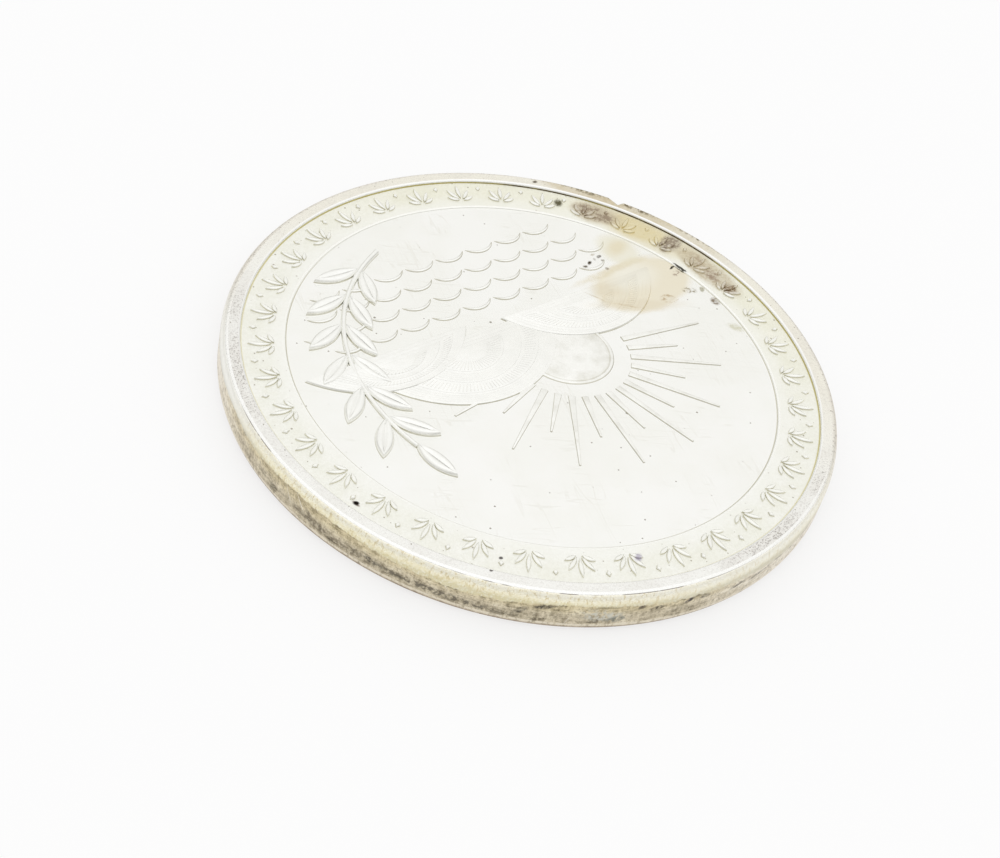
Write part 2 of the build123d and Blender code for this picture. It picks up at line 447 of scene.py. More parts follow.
# the dark line at the rim's foot, partly dirt and partly painted shade in the corner: olive yellow
# where it is thin and brown where it is thick. There is most on the stained side, where it comes and goes
foot_dirt_group, entry, leave = new_group(
    "foot_dirt", {"Place": "Vector", "Stained side": "Float"}, {"Colour": "Color"}
)
patchy = fade(noise(entry["Place"], 0.55, 3.0), 0.4, 0.6, 0.1, 0.4)
thickness = fade(entry["Stained side"], -0.5, 0.8, 0.05, 0.62)
thickness = calc(thickness, "+", calc(patchy, "*", fade(entry["Stained side"], 0.82, 0.95)))
dirt = shades(
    thickness,
    (0.0, (240, 236, 214)), (0.3, (212, 204, 152)), (0.62, (184, 173, 110)), (0.9, (84, 70, 30)),
)
foot_dirt_group.links.new(dirt, leave["Colour"])


def foot_dirt(place, stained_side):
    return use_group(foot_dirt_group, {"Place": place, "Stained side": stained_side})["Colour"]


LARGE_MARK = 0.7  # half length from which a mark wanders with the coarser noise
ANY_HEIGHT = 1000  # a mark's reach up and down, so that it lies on silver of any height


def mark_group(name, marks, drift):
    """A group that lays ragged ovals of tarnish and dirt over a colour.
    A mark is its centre, half length, half width, turn, softness, strength, how speckled, colour."""
    inputs, outputs = {"Place": "Vector", "Under": "Color"}, {"Colour": "Color", "Cover": "Float"}
    tree, entry, leave = new_group(name, inputs, outputs)
    wander = []
    for scale, size in ((0.7, drift), (3.5, drift * 0.3)):
        shift = calc_place(noise(entry["Place"], scale, 3.0, 0.6, "Color"), "-", (0.5, 0.5, 0.5))
        wander.append(calc_place(entry["Place"], "+", calc_place(shift, "*", (size, size, size))))
    speckle = fade(noise(entry["Place"], 3.2, 4.0, 0.65), 0.43, 0.58)
    colour, cover = entry["Under"], 0.0
    for x, y, half_length, half_width, turn, softness, strength, speckled, tone in marks:
        spot = {
            "Place": wander[0] if half_length > LARGE_MARK else wander[1],
            "Centre": (x, y, 0),
            "Reach": (half_length, half_width, ANY_HEIGHT),
            "Turn": turn,
            "Softness": softness,
        }
        amount = calc(use_group(spot_group, spot)["Mask"], "*", strength)
        if speckled:
            amount = calc(amount, "*", fade(speckle, 0.0, 1.0, 1.0 - speckled, 1.0))
        colour = lay(colour, tone, amount)
        cover = calc(cover, "MAXIMUM", amount)
    tree.links.new(colour, leave["Colour"])
    tree.links.new(cover, leave["Cover"])
    return tree


def lay_marks(group, place, under):
    """Lays a group's marks over a colour: the colour then, and how far the marks cover it."""
    marks = use_group(group, {"Place": place, "Under": under})
    return marks["Colour"], marks["Cover"]


FIELD_MARKS = (
    (-11.67, -3.04, 4.03, 2.44, 5.7, 0.12, 0.85, 0, (239, 231, 209)),
    (-9.9, -1.44, 3.06, 0.54, 159.2, 0.5, 0.5, 0, (231, 221, 199)),
    (-8.75, -3.55, 1.15, 0.66, 150, 0.5, 0.35, 0.2, (229, 217, 192)),
    (-11.53, -3.87, 1.86, 1.19, 3.2, 0.6, 0.75, 0, (248, 246, 236)),
    (-10.64, -5.05, 3.08, 0.33, 3.4, 0.5, 0.6, 0.3, (230, 220, 192)),
    (-12.64, -6.69, 1.56, 1.37, 86.9, 0.3, 0.6, 0, (237, 232, 209)),
    (-12.69, -6.85, 0.88, 0.62, 16, 0.6, 0.6, 0, (231, 219, 186)),
    (-12.45, -1.1, 0.62, 0.42, 160, 0.25, 0.7, 0.9, (186, 160, 118)),
    (-12.55, -1, 0.4, 0.25, 175, 0.5, 0.8, 0.2, (243, 238, 222)),
    (-9.24, -6.16, 0.16, 0.12, 0, 0.5, 0.85, 0.5, (84, 68, 38)),
    (-9.78, -6.33, 0.22, 0.12, 35, 0.4, 1, 0.3, (70, 56, 34)),
    (-10.33, -6.5, 0.12, 0.1, 80, 0.5, 0.75, 0.5, (96, 80, 50)),
    (-10.82, -6.6, 0.2, 0.13, 20, 0.4, 0.95, 0.4, (74, 60, 38)),
    (-10.79, -6.19, 0.1, 0.09, 0, 0.5, 0.65, 0.4, (104, 86, 56)),
    (-7.62, -3.3, 0.72, 0.07, 118, 0.5, 0.5, 0.5, (196, 176, 140)),
    (-9.1, -1.62, 0.95, 0.07, 146, 0.5, 0.45, 0.6, (204, 184, 148)),
    (-10.55, -6.96, 0.2, 0.08, 0, 0.5, 0.7, 0.6, (160, 140, 100)),
    (-10.51, -5.34, 0.13, 0.12, 0, 0.5, 0.9, 0.4, (112, 92, 56)),
    (-14.38, -1.17, 0.49, 0.27, 151.5, 0.4, 0.8, 0.9, (128, 112, 62)),
    (-15.28, -0.85, 0.25, 0.16, 49.5, 0.4, 0.8, 0.3, (134, 128, 72)),
    (-15.3, 0.49, 0.36, 0.32, 61.8, 0.4, 0.85, 0.6, (118, 96, 62)),
    (-14.74, 3.14, 0.53, 0.32, 120.5, 0.5, 0.5, 0.5, (190, 186, 140)),
    (-15.27, -3.21, 0.62, 0.09, 101, 0.3, 1, 0.1, (40, 36, 22)),
    (-14.92, -3.55, 0.3, 0.08, 15, 0.3, 1, 0.1, (40, 36, 22)),
    (-14.75, -2.95, 0.3, 0.2, 20, 0.5, 0.7, 1, (128, 92, 70)),
)
field_marks = mark_group("field_marks", FIELD_MARKS, 0.55)
BAND_MARKS = (
    (-15.5, -7.3, 4.9, 1.55, 116, 0.35, 0.55, 0, (232, 222, 190)),
    (-15.38, -7.74, 2.25, 1.12, 118.8, 0.3, 0.75, 0.15, (229, 216, 172)),
    (-16.93, -2.16, 2.85, 1.02, 95.8, 0.25, 0.85, 0.3, (206, 194, 168)),
    (-13.6, -10.3, 1.75, 1.05, 126, 0.3, 0.8, 0.25, (208, 196, 172)),
    (-16.95, -3.3, 0.6, 0.45, 60, 0.5, 0.6, 0.7, (176, 158, 134)),
    (-15.33, -3.23, 0.6, 0.085, 101, 0.3, 0.95, 0.1, (40, 36, 22)),
    (-16.9, -1.6, 0.65, 0.42, 80, 0.5, 0.75, 0.7, (158, 136, 118)),
    (-17.02, 0.05, 0.55, 0.47, 54.8, 0.35, 0.95, 0.6, (150, 130, 104)),
    (-13.52, -10.36, 1.45, 0.72, 120, 0.3, 0.85, 0.7, (158, 140, 120)),
    (-16.38, -5.54, 1.08, 0.66, 18.7, 0.3, 0.85, 0.55, (150, 134, 118)),
    (-11.86, -12.39, 0.41, 0.29, 45.2, 0.4, 0.95, 0.5, (92, 86, 56)),
    (17.11, 5.02, 0.25, 0.1, 100, 0.5, 0.8, 0.6, (104, 72, 56)),
    (17.07, 4.99, 0.17, 0.14, 150, 0.4, 1, 0, (24, 17, 13)),
    (11.786, 9.376, 0.1, 0.08, 0, 0.4, 0.8, 0, (90, 84, 76)),
    (12.211, 12.128, 0.12, 0.09, 0, 0.4, 0.9, 0, (70, 62, 62)),
    (5.117, 15.823, 0.34, 0.2, 30, 0.5, 0.7, 0.3, (176, 168, 190)),
)
band_marks = mark_group("band_marks", BAND_MARKS, 0.6)
RIM_MARKS = (
    (-14.23, -12.36, 3, 0.75, 128.3, 0.4, 0.7, 0.25, (213, 199, 168)),
    (-16.3, -9.48, 3.4, 0.75, 119.9, 0.4, 0.7, 0.3, (208, 194, 162)),
    (-17.9, -5.6, 3.2, 0.75, 106, 0.5, 0.5, 0.3, (218, 207, 178)),
    (-14.5, -12.6, 1.97, 0.3, 130, 0.5, 0.9, 0.95, (134, 124, 98)),
    (-16.55, -9.55, 1.3, 0.26, 120, 0.5, 0.95, 0.95, (120, 108, 84)),
    (-18.4, -5.2, 1.6, 0.14, 106, 0.5, 0.8, 1, (128, 118, 92)),
    (18.246, -1.757, 0.12, 0.1, 0, 0.4, 0.9, 0, (96, 90, 84)),
    (13.353, 12.717, 0.14, 0.09, 0, 0.4, 0.9, 0, (82, 74, 70)),
    (-11.646, -14.809, 0.2, 0.14, 0, 0.4, 0.9, 0.4, (92, 80, 60)),
)
rim_marks = mark_group("rim_marks", RIM_MARKS, 0.5)
# places on the wall are millimetres round it from the picture's right, and height
WALL_MARKS = (
    (12, 1, 4.4, 0.24, -2, 0.5, 0.85, 0.9, (104, 98, 86)),
    (5.4, 0.98, 3.2, 0.17, -3, 0.5, 0.75, 0.8, (110, 100, 84)),
    (8, 1.2, 0.5, 0.18, -20, 0.5, 0.8, 0.8, (84, 80, 70)),
    (3.7, 1.42, 0.5, 0.14, -40, 0.5, 0.8, 0.5, (112, 102, 84)),
    (16.9, 1.38, 0.5, 0.16, 40, 0.4, 0.9, 0.6, (74, 72, 66)),
    (18.2, 1.86, 0.62, 0.15, 14, 0.4, 0.95, 0.5, (62, 60, 58)),
    (21.6, 1.3, 1.25, 0.42, -8, 0.5, 0.8, 1, (206, 206, 196)),
    (22.4, 1.02, 0.55, 0.22, 10, 0.5, 0.8, 0.9, (112, 114, 104)),
    (23.8, 1.86, 0.24, 0.15, 20, 0.4, 0.95, 0.3, (70, 60, 52)),
    (24.8, 1.62, 0.42, 0.16, 10, 0.4, 0.9, 0.7, (82, 74, 62)),
    (26.9, 1.72, 0.36, 0.16, 30, 0.4, 0.95, 0.5, (66, 60, 62)),
    (28, 1.66, 0.32, 0.14, 0, 0.4, 0.9, 0.5, (80, 74, 66)),
    (30.6, 1.48, 0.7, 0.12, 12, 0.4, 0.85, 0.7, (92, 84, 72)),
    (32.4, 1.42, 0.9, 0.1, 5, 0.4, 0.85, 0.6, (98, 90, 74)),
    (1.9, 1.6, 0.55, 0.025, 118, 0.5, 0.9, 0.3, (236, 232, 220)),
    (2.9, 1.75, 0.6, 0.025, 126, 0.5, 0.9, 0.3, (240, 236, 226)),
    (12.4, 1.95, 0.5, 0.03, 125, 0.5, 0.9, 0.2, (244, 241, 232)),
    (19.6, 0.95, 0.35, 0.02, 70, 0.5, 0.7, 0.3, (232, 228, 216)),
    (29.5, 1.05, 0.4, 0.02, 64, 0.5, 0.7, 0.3, (232, 228, 216)),
)
wall_marks = mark_group("wall_marks", WALL_MARKS, 0.3)


def new_silver(name):
    """A new silver, and the place on the medal in millimetres."""
    silver = bpy.data.materials.new(name)
    silver.use_nodes = True
    silver.node_tree.nodes["Principled BSDF"].inputs["Metallic"].default_value = 1.0
    metres = add_node("TexCoord", tree=silver.node_tree).outputs["Object"]
    in_mm = add_node("Mapping", {"Vector": metres, "Scale": (1000, 1000, 1000)})
    return silver, in_mm.outputs[0]


def from_axis(place):
    """How far a place is from the medal's axis, its height and its angle in degrees."""
    parts = add_node("SeparateXYZ", {0: place}).outputs
    flat = add_node("CombineXYZ", {0: parts["X"], 1: parts["Y"]}).outputs[0]
    return length(flat), parts["Z"], calc(calc(parts["Y"], "ARCTAN2", parts["X"]), "*", 180 / math.pi)


def facing(place, reach, angle):
    """How much a place lies to one side of the medal: 1 at an angle round it, -1 opposite."""
    side = polar(1, angle).normalized()
    return calc(calc_place(place, "DOT_PRODUCT", side, "Value"), "/", reach)


def finish_silver(silver, colour, roughness, relief, depth):
    """Joins a finish to its silver. depth is how deep the fine relief goes, in millimetres."""
    tree = silver.node_tree
    bump = add_node("Bump", {"Height": relief, "Distance": depth * MM})
    for socket, value in (("Base Color", colour), ("Roughness", roughness), ("Normal", bump.outputs[0])):
        tree.links.new(value, tree.nodes["Principled BSDF"].inputs[socket])


# the back: plain satin silver with a few hairlines, pits and clouds
back_silver, place = new_silver("back_silver")
cloud = noise(place, 0.2, 5, 0.6)
colour = lay((243, 242, 237), (236, 234, 225), fade(cloud, 0.35, 0.65))
wear = calc(hairlines(place, (70, 158), 0.009), "MAXIMUM", pits(place, 0.8, 0.07, 0.25))
colour = lay(colour, (178, 172, 156), wear, 0.45)
finish_silver(back_silver, colour, fade(cloud, 0.3, 0.7, 0.22, 0.34), grain(place, 4), 0.004)

# the field: a mirror gone milky, with hairlines, strewn dots and a dark line at the step's foot,
# partly dirt and partly painted shade, left off towards the far side
CLEAN_SIDE = 247
field_silver, place = new_silver("field_silver")
reach, _, _ = from_axis(place)
cloud = noise(place, 0.16, 4, 0.6)
colour = lay((252, 252, 250), (249, 249, 245), fade(cloud, 0.35, 0.65))
hair = hairlines(place, (32, 107), 0.012)
colour = lay(colour, (232, 230, 222), hair, 0.28)
dots = calc(pits(place, 0.8, 0.042, 0.17), "MAXIMUM", pits(place, 0.3, 0.075, 0.35))
colour = lay(colour, (136, 128, 112), dots, 0.8)
colour, cover = lay_marks(field_marks, place, colour)
# the step's foot line: dirt and painted shade in the corner
foot = fade(reach, FIELD_RADIUS - 0.06, FIELD_RADIUS - 0.02)
foot = calc(foot, "*", fade(facing(place, reach, CLEAN_SIDE), 0.9, 0.3))
colour = lay(colour, (166, 156, 100), foot, 0.6)
roughness = calc(fade(cloud, 0.3, 0.7, 0.1, 0.2), "+", calc(cover, "*", 0.3))
finish_silver(field_silver, colour, roughness, calc(1, "-", calc(hair, "MAXIMUM", dots)), 0.002)

# the band: blasted fine and a little yellow, paler inwards with a painted highlight at its inner edge,
# and a line of dirt and painted shade at the rim's foot
STAINED_SIDE = 215
band_silver, place = new_silver("band_silver")
reach, _, _ = from_axis(place)
blasting = grain(place, 5)
colour = lay((252, 252, 247), (247, 247, 238), fade(noise(place, 0.5, 3, 0.6), 0.3, 0.7))
colour = lay(colour, (222, 220, 206), fade(blasting, 0, 1, 0.22, 0))
colour = lay(colour, (150, 140, 120), pits(place, 1.3, 0.05, 0.25), 0.7)
stained_side = facing(place, reach, STAINED_SIDE)
# yellower and a little darker on the stained side: stain tint, and painted shade for the far band
colour = lay(colour, (250, 248, 232), fade(stained_side, 0, 0.9, 0, 0.5), way="MULTIPLY")
inwards = fade(reach, BAND_OUTER - 1.1, BAND_INNER + 0.21, 0, 0.5)
colour = lay(colour, (253, 253, 250), inwards, way="LIGHTEN")
colour, cover = lay_marks(band_marks, place, colour)
# a painted highlight along the band's inner corner
inner_edge = calc(fade(reach, BAND_INNER + 0.17, BAND_INNER + 0.11), "*", calc(0.85, "-", cover))
colour = lay(colour, (254, 254, 250), inner_edge)
# the dark line at the rim's foot: dirt and painted shade
foot = fade(reach, BAND_OUTER - 0.1, BAND_OUTER - 0.03)
colour = lay(colour, foot_dirt(place, stained_side), foot)
roughness = calc(fade(blasting, 0, 1, 0.4, 0.32), "+", calc(cover, "*", 0.15))
roughness = fade(inner_edge, 0, 1, roughness, 0.2)
finish_silver(band_silver, colour, roughness, blasting, 0.006)

# the rim: flat, lightly frosted and pitted where it was handled most
rim_silver, place = new_silver("rim_silver")
reach, height, angle = from_axis(place)
blasting = grain(place, 6)
handled = calc(near_line(angle, 106, 28), "MAXIMUM", near_line(angle, -26, 26))
frost = fade(noise(place, 0.35, 3, 0.6), 0.4, 0.62, 0.45, 0.95)
frost = calc(frost, "*", fade(handled, 0, 1, 0.6, 1))
stained_side = facing(place, reach, STAINED_SIDE)
colour = lay((250, 250, 247), (247, 244, 233), fade(stained_side, -0.3, 0.5))
colour = lay(colour, (228, 223, 216), fade(frost, 0, 1, 0, 0.35))
colour = lay(colour, (200, 195, 190), calc(frost, "*", fade(blasting, 0.55, 0.2, 0, 0.5)))
granules = calc(pits(place, 8, 0.042, 0.6), "*", calc(handled, "*", frost))
colour = lay(colour, (158, 152, 146), granules, 0.6)
colour = lay(colour, (140, 132, 118), pits(place, 1.3, 0.04, 0.3), 0.7)
colour, cover = lay_marks(rim_marks, place, colour)
# a painted highlight along the rim's inner corner
colour = lay(colour, (253, 253, 252), fade(reach, RIM_INNER + 0.12, RIM_INNER + 0.08))
# the foot of the rim's inner wall: a line of dirt and painted shade
foot = fade(height, THICKNESS - 0.12, THICKNESS - 0.17)
colour = lay(colour, foot_dirt(place, stained_side), foot)
roughness = calc(fade(frost, 0, 1, 0.2, 0.38), "+", calc(cover, "*", 0.2))
finish_silver(rim_silver, colour, roughness, calc(calc(blasting, "*", frost), "-", granules), 0.008)

# the edge: a polished corner, a light yellow shoulder and a wall stained brown in streaks up to a
# ragged line, which stands at these heights at these angles
BROWN_TOP = (
    (-30, 2.1), (-14, 2.23), (-5, 1.92), (8, 2.27), (19, 2.12), (29, 1.92), (38, 1.72),
    (46, 1.8), (56, 2.13), (66, 2.05), (77, 1.93), (90, 1.83), (105, 1.62), (130, 1.9),
)
NEAR_SIDE = 36
edge_silver, place = new_silver("edge_silver")
reach, height, angle = from_axis(place)
pickling = grain(place, 4)
blotch = noise(stretched(place, 1, 1.6), 1.3, 5, 0.65)
streak = noise(stretched(place, 0.5, 6), 1, 4, 0.6)
drawn = noise(stretched(place, 5, 0.8), 1, 3, 0.6)
tone = calc(calc(calc(blotch, "*", 0.5), "+", calc(streak, "*", 0.3)), "+", calc(drawn, "*", 0.2))
tone = calc(tone, "+", fade(off(angle, NEAR_SIDE), 38, 62, 0, 0.125))
tone = calc(tone, "+", fade(off(height, 0.98), 0.12, 0.5, -0.025, 0.015))
wall = shades(
    tone, (0.37, (122, 114, 98)), (0.45, (186, 176, 156)), (0.54, (214, 204, 184)), (0.64, (240, 233, 218))
)
wall = lay(wall, (116, 106, 88), fade(pickling, 0.45, 0.1, 0, 0.42))
wall = lay(wall, (240, 233, 214), fade(pickling, 0.6, 0.95, 0, 0.4))
warm = calc(fade(off(angle, NEAR_SIDE), 64, 40), "*", fade(height, 1.2, 1.9, 0.35, 1))
wall = lay(wall, (250, 246, 226), warm, way="MULTIPLY")
round_wall = calc(angle, "*", math.radians(RADIUS))
unrolled = add_node("CombineXYZ", {0: round_wall, 1: height}).outputs[0]
wall, _ = lay_marks(wall_marks, unrolled, wall)
# a painted highlight, broken, along the lower rounding of the edge
light_line = calc(near_line(height, 0.54, 0.12), "*", fade(drawn, 0.36, 0.52, 0.2, 1))
wall = lay(wall, (230, 221, 202), light_line)
# a brown line low on the edge: tarnish, and painted contact shadow where the medal meets the table
brown_foot = calc(fade(height, 0.41, 0.32, 0, 0.85), "*", fade(height, 0.03, 0.1))
wall = lay(wall, (132, 104, 86), calc(brown_foot, "*", fade(blotch, 0.36, 0.54, 1, 0.7)))

start, end = BROWN_TOP[0][0], BROWN_TOP[-1][0]
share = add_node("MapRange", {"Value": angle, "From Min": start, "From Max": end}).outputs[0]
brown_top = add_ramp(share, [((turn - start) / (end - start), (level,) * 3) for turn, level in BROWN_TOP])
ragged = calc(calc(noise(place, 2.2, 5, 0.7), "-", 0.5), "*", 0.55)
over_brown = calc(calc(height, "-", brown_top), "+", ragged)
up_shoulder = fade(height, 1.9, 2.75)
yellow = shades(
    up_shoulder, (0.1, (222, 215, 184)), (0.32, (236, 230, 202)),
    (0.6, (246, 240, 214)), (0.82, (250, 246, 224)), (0.96, (253, 250, 236)),
)
yellow = lay(yellow, (254, 251, 238), calc(fade(angle, 22, 42), "*", fade(height, 2.25, 2.6, 0, 0.5)))
yellow = lay(yellow, (246, 239, 212), fade(blotch, 0.4, 0.62, 0, 0.25), way="MULTIPLY")
ticks = noise(stretched(place, 6, 1.5), 1, 3, 0.6)
yellow = lay(yellow, (208, 188, 138), fade(ticks, 0.55, 0.65, 0, 0.55))
mottle = noise(place, 6.5, 3, 0.6)
yellow = lay(yellow, (222, 208, 160), fade(mottle, 0.5, 0.68, 0, 0.3))
yellow = lay(yellow, (255, 253, 242), fade(mottle, 0.5, 0.34, 0, 0.4))
fine_dirt = calc(fade(pickling, 0.35, 0.05), "*", fade(height, 2.72, 2.5, 0, 0.4))
yellow = lay(yellow, (208, 192, 140), fine_dirt)
white = shades(up_shoulder, (0.1, (210, 207, 197)), (0.5, (234, 233, 225)), (0.9, (250, 249, 243)))
yellow = lay(yellow, white, calc(fade(angle, 4, -20), "MAXIMUM", fade(angle, 52, 100, 0, 0.5)))
colour = lay(wall, yellow, fade(over_brown, -0.06, 0.05))
dashes = fade(noise(place, 0.9, 4), 0.53, 0.63, 0, 0.5)
colour = lay(colour, (104, 96, 72), calc(near_line(over_brown, -0.05, 0.1), "*", dashes))

colour = lay(colour, (253, 253, 251), fade(height, 2.762, 2.785))
crease = calc(near_line(height, 2.779, 0.018), "*", fade(noise(place, 0.8, 3), 0.4, 0.5))
crease = calc(crease, "*", calc(near_line(angle, 62, 34), "MAXIMUM", near_line(angle, -4, 11)))
colour = lay(colour, (96, 82, 74), crease, 0.85)
far_side = fade(facing(place, reach, 221), -0.35, 0.1)
frost = calc(far_side, "*", fade(height, 2.2, 2.5))
colour = lay(colour, (243, 239, 230), frost)
# painted shade along the far side's outline, just under the rim
colour = lay(colour, (170, 156, 128), calc(far_side, "*", fade(height, 2.83, 2.79, 0, 0.22)))
colour = lay(colour, (158, 152, 144), calc(pits(place, 6, 0.05, 0.45), "*", frost), 0.5)
colour, _ = lay_marks(rim_marks, place, colour)
unpolished = calc(calc(1, "-", fade(height, 2.74, 2.79)), "MAXIMUM", far_side)
relief = calc(calc(blotch, "*", 0.6), "+", calc(pickling, "*", 0.4))
finish_silver(edge_silver, colour, fade(unpolished, 0, 1, 0.18, 0.4), relief, 0.04)

for finish in (back_silver, edge_silver, rim_silver, band_silver, field_silver):
    blank.data.materials.append(finish)
for face in blank.data.polygons:
    radius, height = face.center.xy.length / MM, face.center.z / MM
    if radius > RIM_OUTER + 0.01:
        face.material_index = 1
    elif height < BACK_DEPTH + 0.01:
        face.material_index = 0
    elif height > BAND_TOP + 0.02:
        face.material_index = 2
    elif radius > FIELD_RADIUS - 0.005:
        face.material_index = 3
    else:
        face.material_index = 4
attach(blank, "root")
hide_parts("medal")

# frieze
# Silver palmettes stand all round the band with a small stud in each gap, raised by cut-outs in
# the die. One petal is drawn, fanned into a palmette and then carried round the medal.
PETAL_WIDTH = 0.32
PETAL_LENGTH = 1.41
PETAL_START = 0.28
PETALS = ((-64, 0.6), (-33, 0.84), (0, 1.0), (33, 0.84), (64, 0.6))  # turns, and shares of the length
HEART_RADIUS = BAND_INNER + 0.62
PALMETTES = 36
ROOT = 0.04
FRIEZE_HEIGHT = 0.12
PETAL_RINGS = (
    # rise, then length and width as shares of the outline's
    (ROOT, 1, 1),
    (FRIEZE_HEIGHT / 2, 0.975, 0.86),
    (FRIEZE_HEIGHT / 3, 0.94, 0.64),
    (FRIEZE_HEIGHT / 6, 0.86, 0.3),
)
STUD_PLACE = 17.591
STUD_FOOT = 0.31
STUD_TOP = 0.15
STUD_NARROWING = 0.68


def circle_through(start, through, end):
    """The centre of the arc through three places, and how far it turns from start to end."""
    ax, ay, bx, by, cx, cy = *start[:2], *through[:2], *end[:2]
    twice_area = 2 * (ax * (by - cy) + bx * (cy - ay) + cx * (ay - by))
    squares = (ax**2 + ay**2, bx**2 + by**2, cx**2 + cy**2)
    x = (squares[0] * (by - cy) + squares[1] * (cy - ay) + squares[2] * (ay - by)) / twice_area
    y = (squares[0] * (cx - bx) + squares[1] * (ax - cx) + squares[2] * (bx - ax)) / twice_area
    way = 1 if twice_area > 0 else -1
    sweep = (math.atan2(cy - y, cx - x) - math.atan2(ay - y, ax - x)) * way % (2 * math.pi) * way
    return Vector((x, y, 0)), sweep


def draw_outline(name, start, *arcs):
    """Draws an outline in millimetres by runs of (through, end, steps), fills it and stays in edit mode.
    A run through None is straight."""
    piece = start_piece(name, bpy.ops.mesh.primitive_plane_add, size=MM)
    bpy.ops.mesh.select_mode(type="VERT")
    bpy.ops.mesh.merge(type="CENTER")
    here = Vector((*start, 0)) * MM
    bpy.ops.transform.translate(value=here)
    for through, end, steps in arcs:
        end = Vector((*end, 0)) * MM
        if through is None:
            bpy.ops.mesh.extrude_vertices_move(TRANSFORM_OT_translate={"value": end - here})
        else:
            centre, sweep = circle_through(here, Vector((*through, 0)) * MM, end)
            bpy.ops.mesh.spin(steps=steps, angle=-sweep, center=centre, axis=(0, 0, 1))
        here = end
    bpy.ops.mesh.select_all(action="SELECT")
    bpy.ops.mesh.remove_doubles(threshold=MM / 1000)
    bpy.ops.mesh.edge_face_add()
    if bmesh.from_edit_mesh(piece.data).faces[:][0].normal.z < 0:
        bpy.ops.mesh.flip_normals()
    return piece


def raise_face(rings, middle=(0, 0, 0)):
    """Extrudes the selected face ring by ring, each given as rise, length and width."""
    last_long = last_wide = 1.0
    for rise, long, wide in rings:
        bpy.ops.mesh.extrude_region_move(TRANSFORM_OT_translate={"value": (0, 0, rise * MM)})
        bpy.ops.transform.resize(value=(long / last_long, wide / last_wide, 1), center_override=middle)
        last_long, last_wide = long, wide


def finish_piece(smooth_angle=35, rounding=0.0):
    """Points all faces outwards, rounds the sharp edges and leaves edit mode."""
    bpy.ops.mesh.select_all(action="SELECT")
    bpy.ops.mesh.normals_make_consistent(inside=False)
    bpy.ops.object.mode_set(mode="OBJECT")
    piece = bpy.context.object
    if rounding:
        bpy.ops.object.modifier_add(type="BEVEL")
        bevel = piece.modifiers[-1]
        bevel.width = rounding * MM
        bevel.segments = 2
        bevel.limit_method = "ANGLE"
        bevel.angle_limit = math.radians(30)
        bpy.ops.object.modifier_apply(modifier=bevel.name)
    bpy.ops.object.shade_smooth_by_angle(angle=math.radians(smooth_angle))


def join_pieces(pieces, name):
    """Joins pieces into one and names it."""
    bpy.ops.object.select_all(action="DESELECT")
    for piece in pieces:
        piece.select_set(True)
    bpy.context.view_layer.objects.active = pieces[0]
    if len(pieces) > 1:
        bpy.ops.object.join()
    pieces[0].name = name
    return pieces[0]


def stamp(pattern, places, name):
    """Copies a piece to each place, each copy with its own mesh, and joins the copies into one piece."""
    copies = []
    for place in places:
        made = pattern.copy()
        made.data = pattern.data.copy()
        made.data.transform(place)
        bpy.context.scene.collection.objects.link(made)
        copies.append(made)
    bpy.data.objects.remove(pattern)
    return join_pieces(copies, name)


def turned(angle):
    return Matrix.Rotation(math.radians(angle), 4, "Z")


def moved(x, y, z=0.0):
    return Matrix.Translation(Vector((x, y, z)) * MM)


half = PETAL_LENGTH / 2
petal = draw_outline(
    "petal", (0, 0), ((half, -PETAL_WIDTH / 2), (PETAL_LENGTH, 0), 7), ((half, PETAL_WIDTH / 2), (0, 0), 7)
)
raise_face(PETAL_RINGS, middle=(half * MM, 0, 0))
finish_piece()
petal.data.transform(moved(PETAL_START, 0))
places = [moved(HEART_RADIUS, 0) @ turned(turn) @ Matrix.Diagonal((share, 1, 1, 1)) for turn, share in PETALS]
palmette = stamp(petal, places, "palmette")
stud_height = ROOT + FRIEZE_HEIGHT
stud = start_piece(
    "stud", bpy.ops.mesh.primitive_cone_add,
    vertices=4, radius1=STUD_FOOT * MM, radius2=STUD_TOP * MM, depth=stud_height * MM,
)
bpy.ops.transform.resize(value=(1, STUD_NARROWING, 1), center_override=(0, 0, 0))
bpy.ops.transform.translate(value=(0, 0, stud_height / 2 * MM))
finish_piece(rounding=0.02)
stud.data.transform(turned(180 / PALMETTES) @ moved(STUD_PLACE, 0))
palmette = join_pieces([palmette, stud], "palmette")
places = [turned(360 / PALMETTES * number) @ moved(0, 0, BAND_TOP - ROOT) for number in range(PALMETTES)]
frieze = stamp(palmette, places, "frieze")


def new_relief(name, ground, marks, clean, grime):
    """The silver of raised work: satin tops, and grime and painted shade round its foot on the ground."""
    silver, place = new_silver(name)
    _, height, _ = from_axis(place)
    satin = grain(place, 4.5)
    cloud = noise(place, 0.8, 3.0, 0.6)
    colour = lay(clean, tuple(value - 4 for value in clean), fade(cloud, 0.3, 0.7))
    colour = lay(colour, (222, 220, 208), fade(satin, 0.0, 1.0, 0.07, 0.0))
    low = calc(calc(height, "-", ground), "+", calc(cloud, "*", -0.05))
    # grime and painted shade where the relief leaves the ground
    colour = lay(colour, grime, fade(low, 0.05, 0.0, 0.0, 0.6))
    colour, cover = lay_marks(marks, place, colour)
    roughness = calc(fade(satin, 0.0, 1.0, 0.26, 0.2), "+", calc(cover, "*", 0.2))
    finish_silver(silver, colour, roughness, satin, 0.0012)
    return silver


frieze_silver = new_relief("frieze_silver", BAND_TOP, band_marks, (252, 252, 247), (190, 184, 152))
frieze.data.materials.append(frieze_silver)
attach(frieze, "root")

